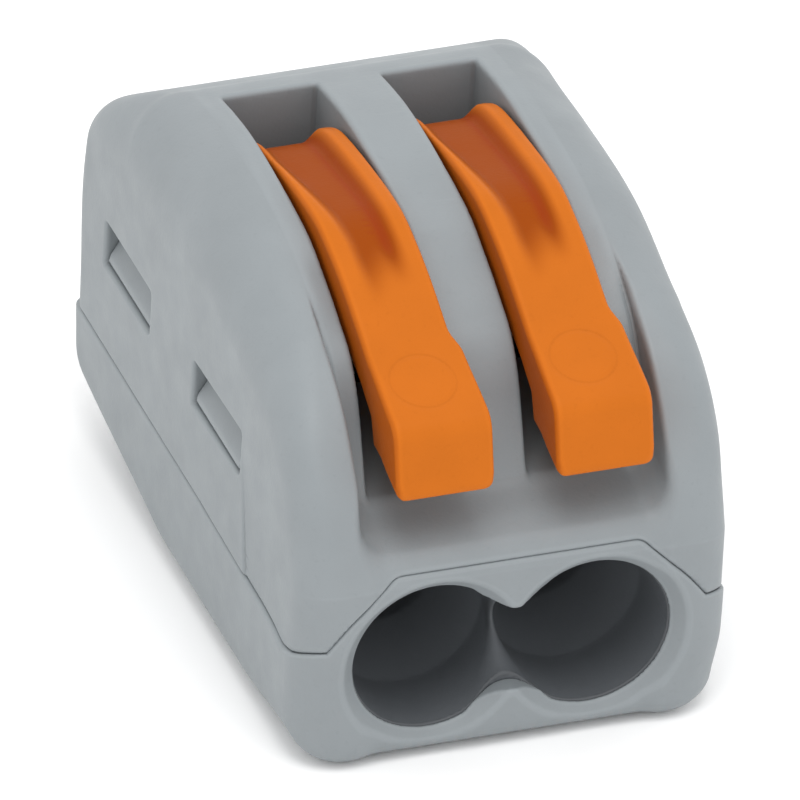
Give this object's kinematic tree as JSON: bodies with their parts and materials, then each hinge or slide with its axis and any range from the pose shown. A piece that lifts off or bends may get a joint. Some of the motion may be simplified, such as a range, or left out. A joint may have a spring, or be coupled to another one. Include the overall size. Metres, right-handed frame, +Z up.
{
  "type": "lever wire connector",
  "caption": "Two-pole lever wire connector with a latched grey housing, orange operating levers, cage clamps and a common busbar.",
  "frame": {"origin": "middle of the footprint, on the face the connector stands on", "axes": "+Z up, wires enter along +Y through the front face at -Y, +X across the poles"},
  "size_m": [0.0138, 0.0206, 0.014],
  "materials": {
    "housing": "satin moulded, cool mid grey",
    "liner": "matte moulded, dark grey",
    "lever": "satin moulded, orange",
    "busbar": "tinned copper, dull bright",
    "spring": "rolled spring steel strip"
  },
  "bodies": {
    "housing": {"housing_base": "housing", "housing_cover": "housing", "entry_liner": "liner", "busbar": "busbar", "clamp_spring_left": "spring", "clamp_spring_right": "spring"},
    "lever_left_body": {"lever_left": "lever"},
    "lever_right_body": {"lever_right": "lever"},
    "cage_left_body": {"clamp_cage_left": "spring"},
    "cage_right_body": {"clamp_cage_right": "spring"}
  },
  "joints": [
    {"name": "lever_left_pivot", "type": "hinge", "parent": "housing", "child": "lever_left_body", "pos_m": [-0.0025, 0.00125, 0.01], "axis": [-1, 0, 0], "range_deg": [0, 95]},
    {"name": "lever_right_pivot", "type": "hinge", "parent": "housing", "child": "lever_right_body", "pos_m": [0.0025, 0.00125, 0.01], "axis": [-1, 0, 0], "range_deg": [0, 95]},
    {"name": "cage_left_slide", "type": "slide", "parent": "housing", "child": "cage_left_body", "axis": [0, 0, -1], "range_m": [0, 0.00199]},
    {"name": "cage_right_slide", "type": "slide", "parent": "housing", "child": "cage_right_body", "axis": [0, 0, -1], "range_m": [0, 0.00199]}
  ],
  "couplings": [
    {"joint": "lever_left_pivot", "follows": "cage_left_slide", "rad_per_m": 833.33},
    {"joint": "lever_right_pivot", "follows": "cage_right_slide", "rad_per_m": 833.33}
  ]
}
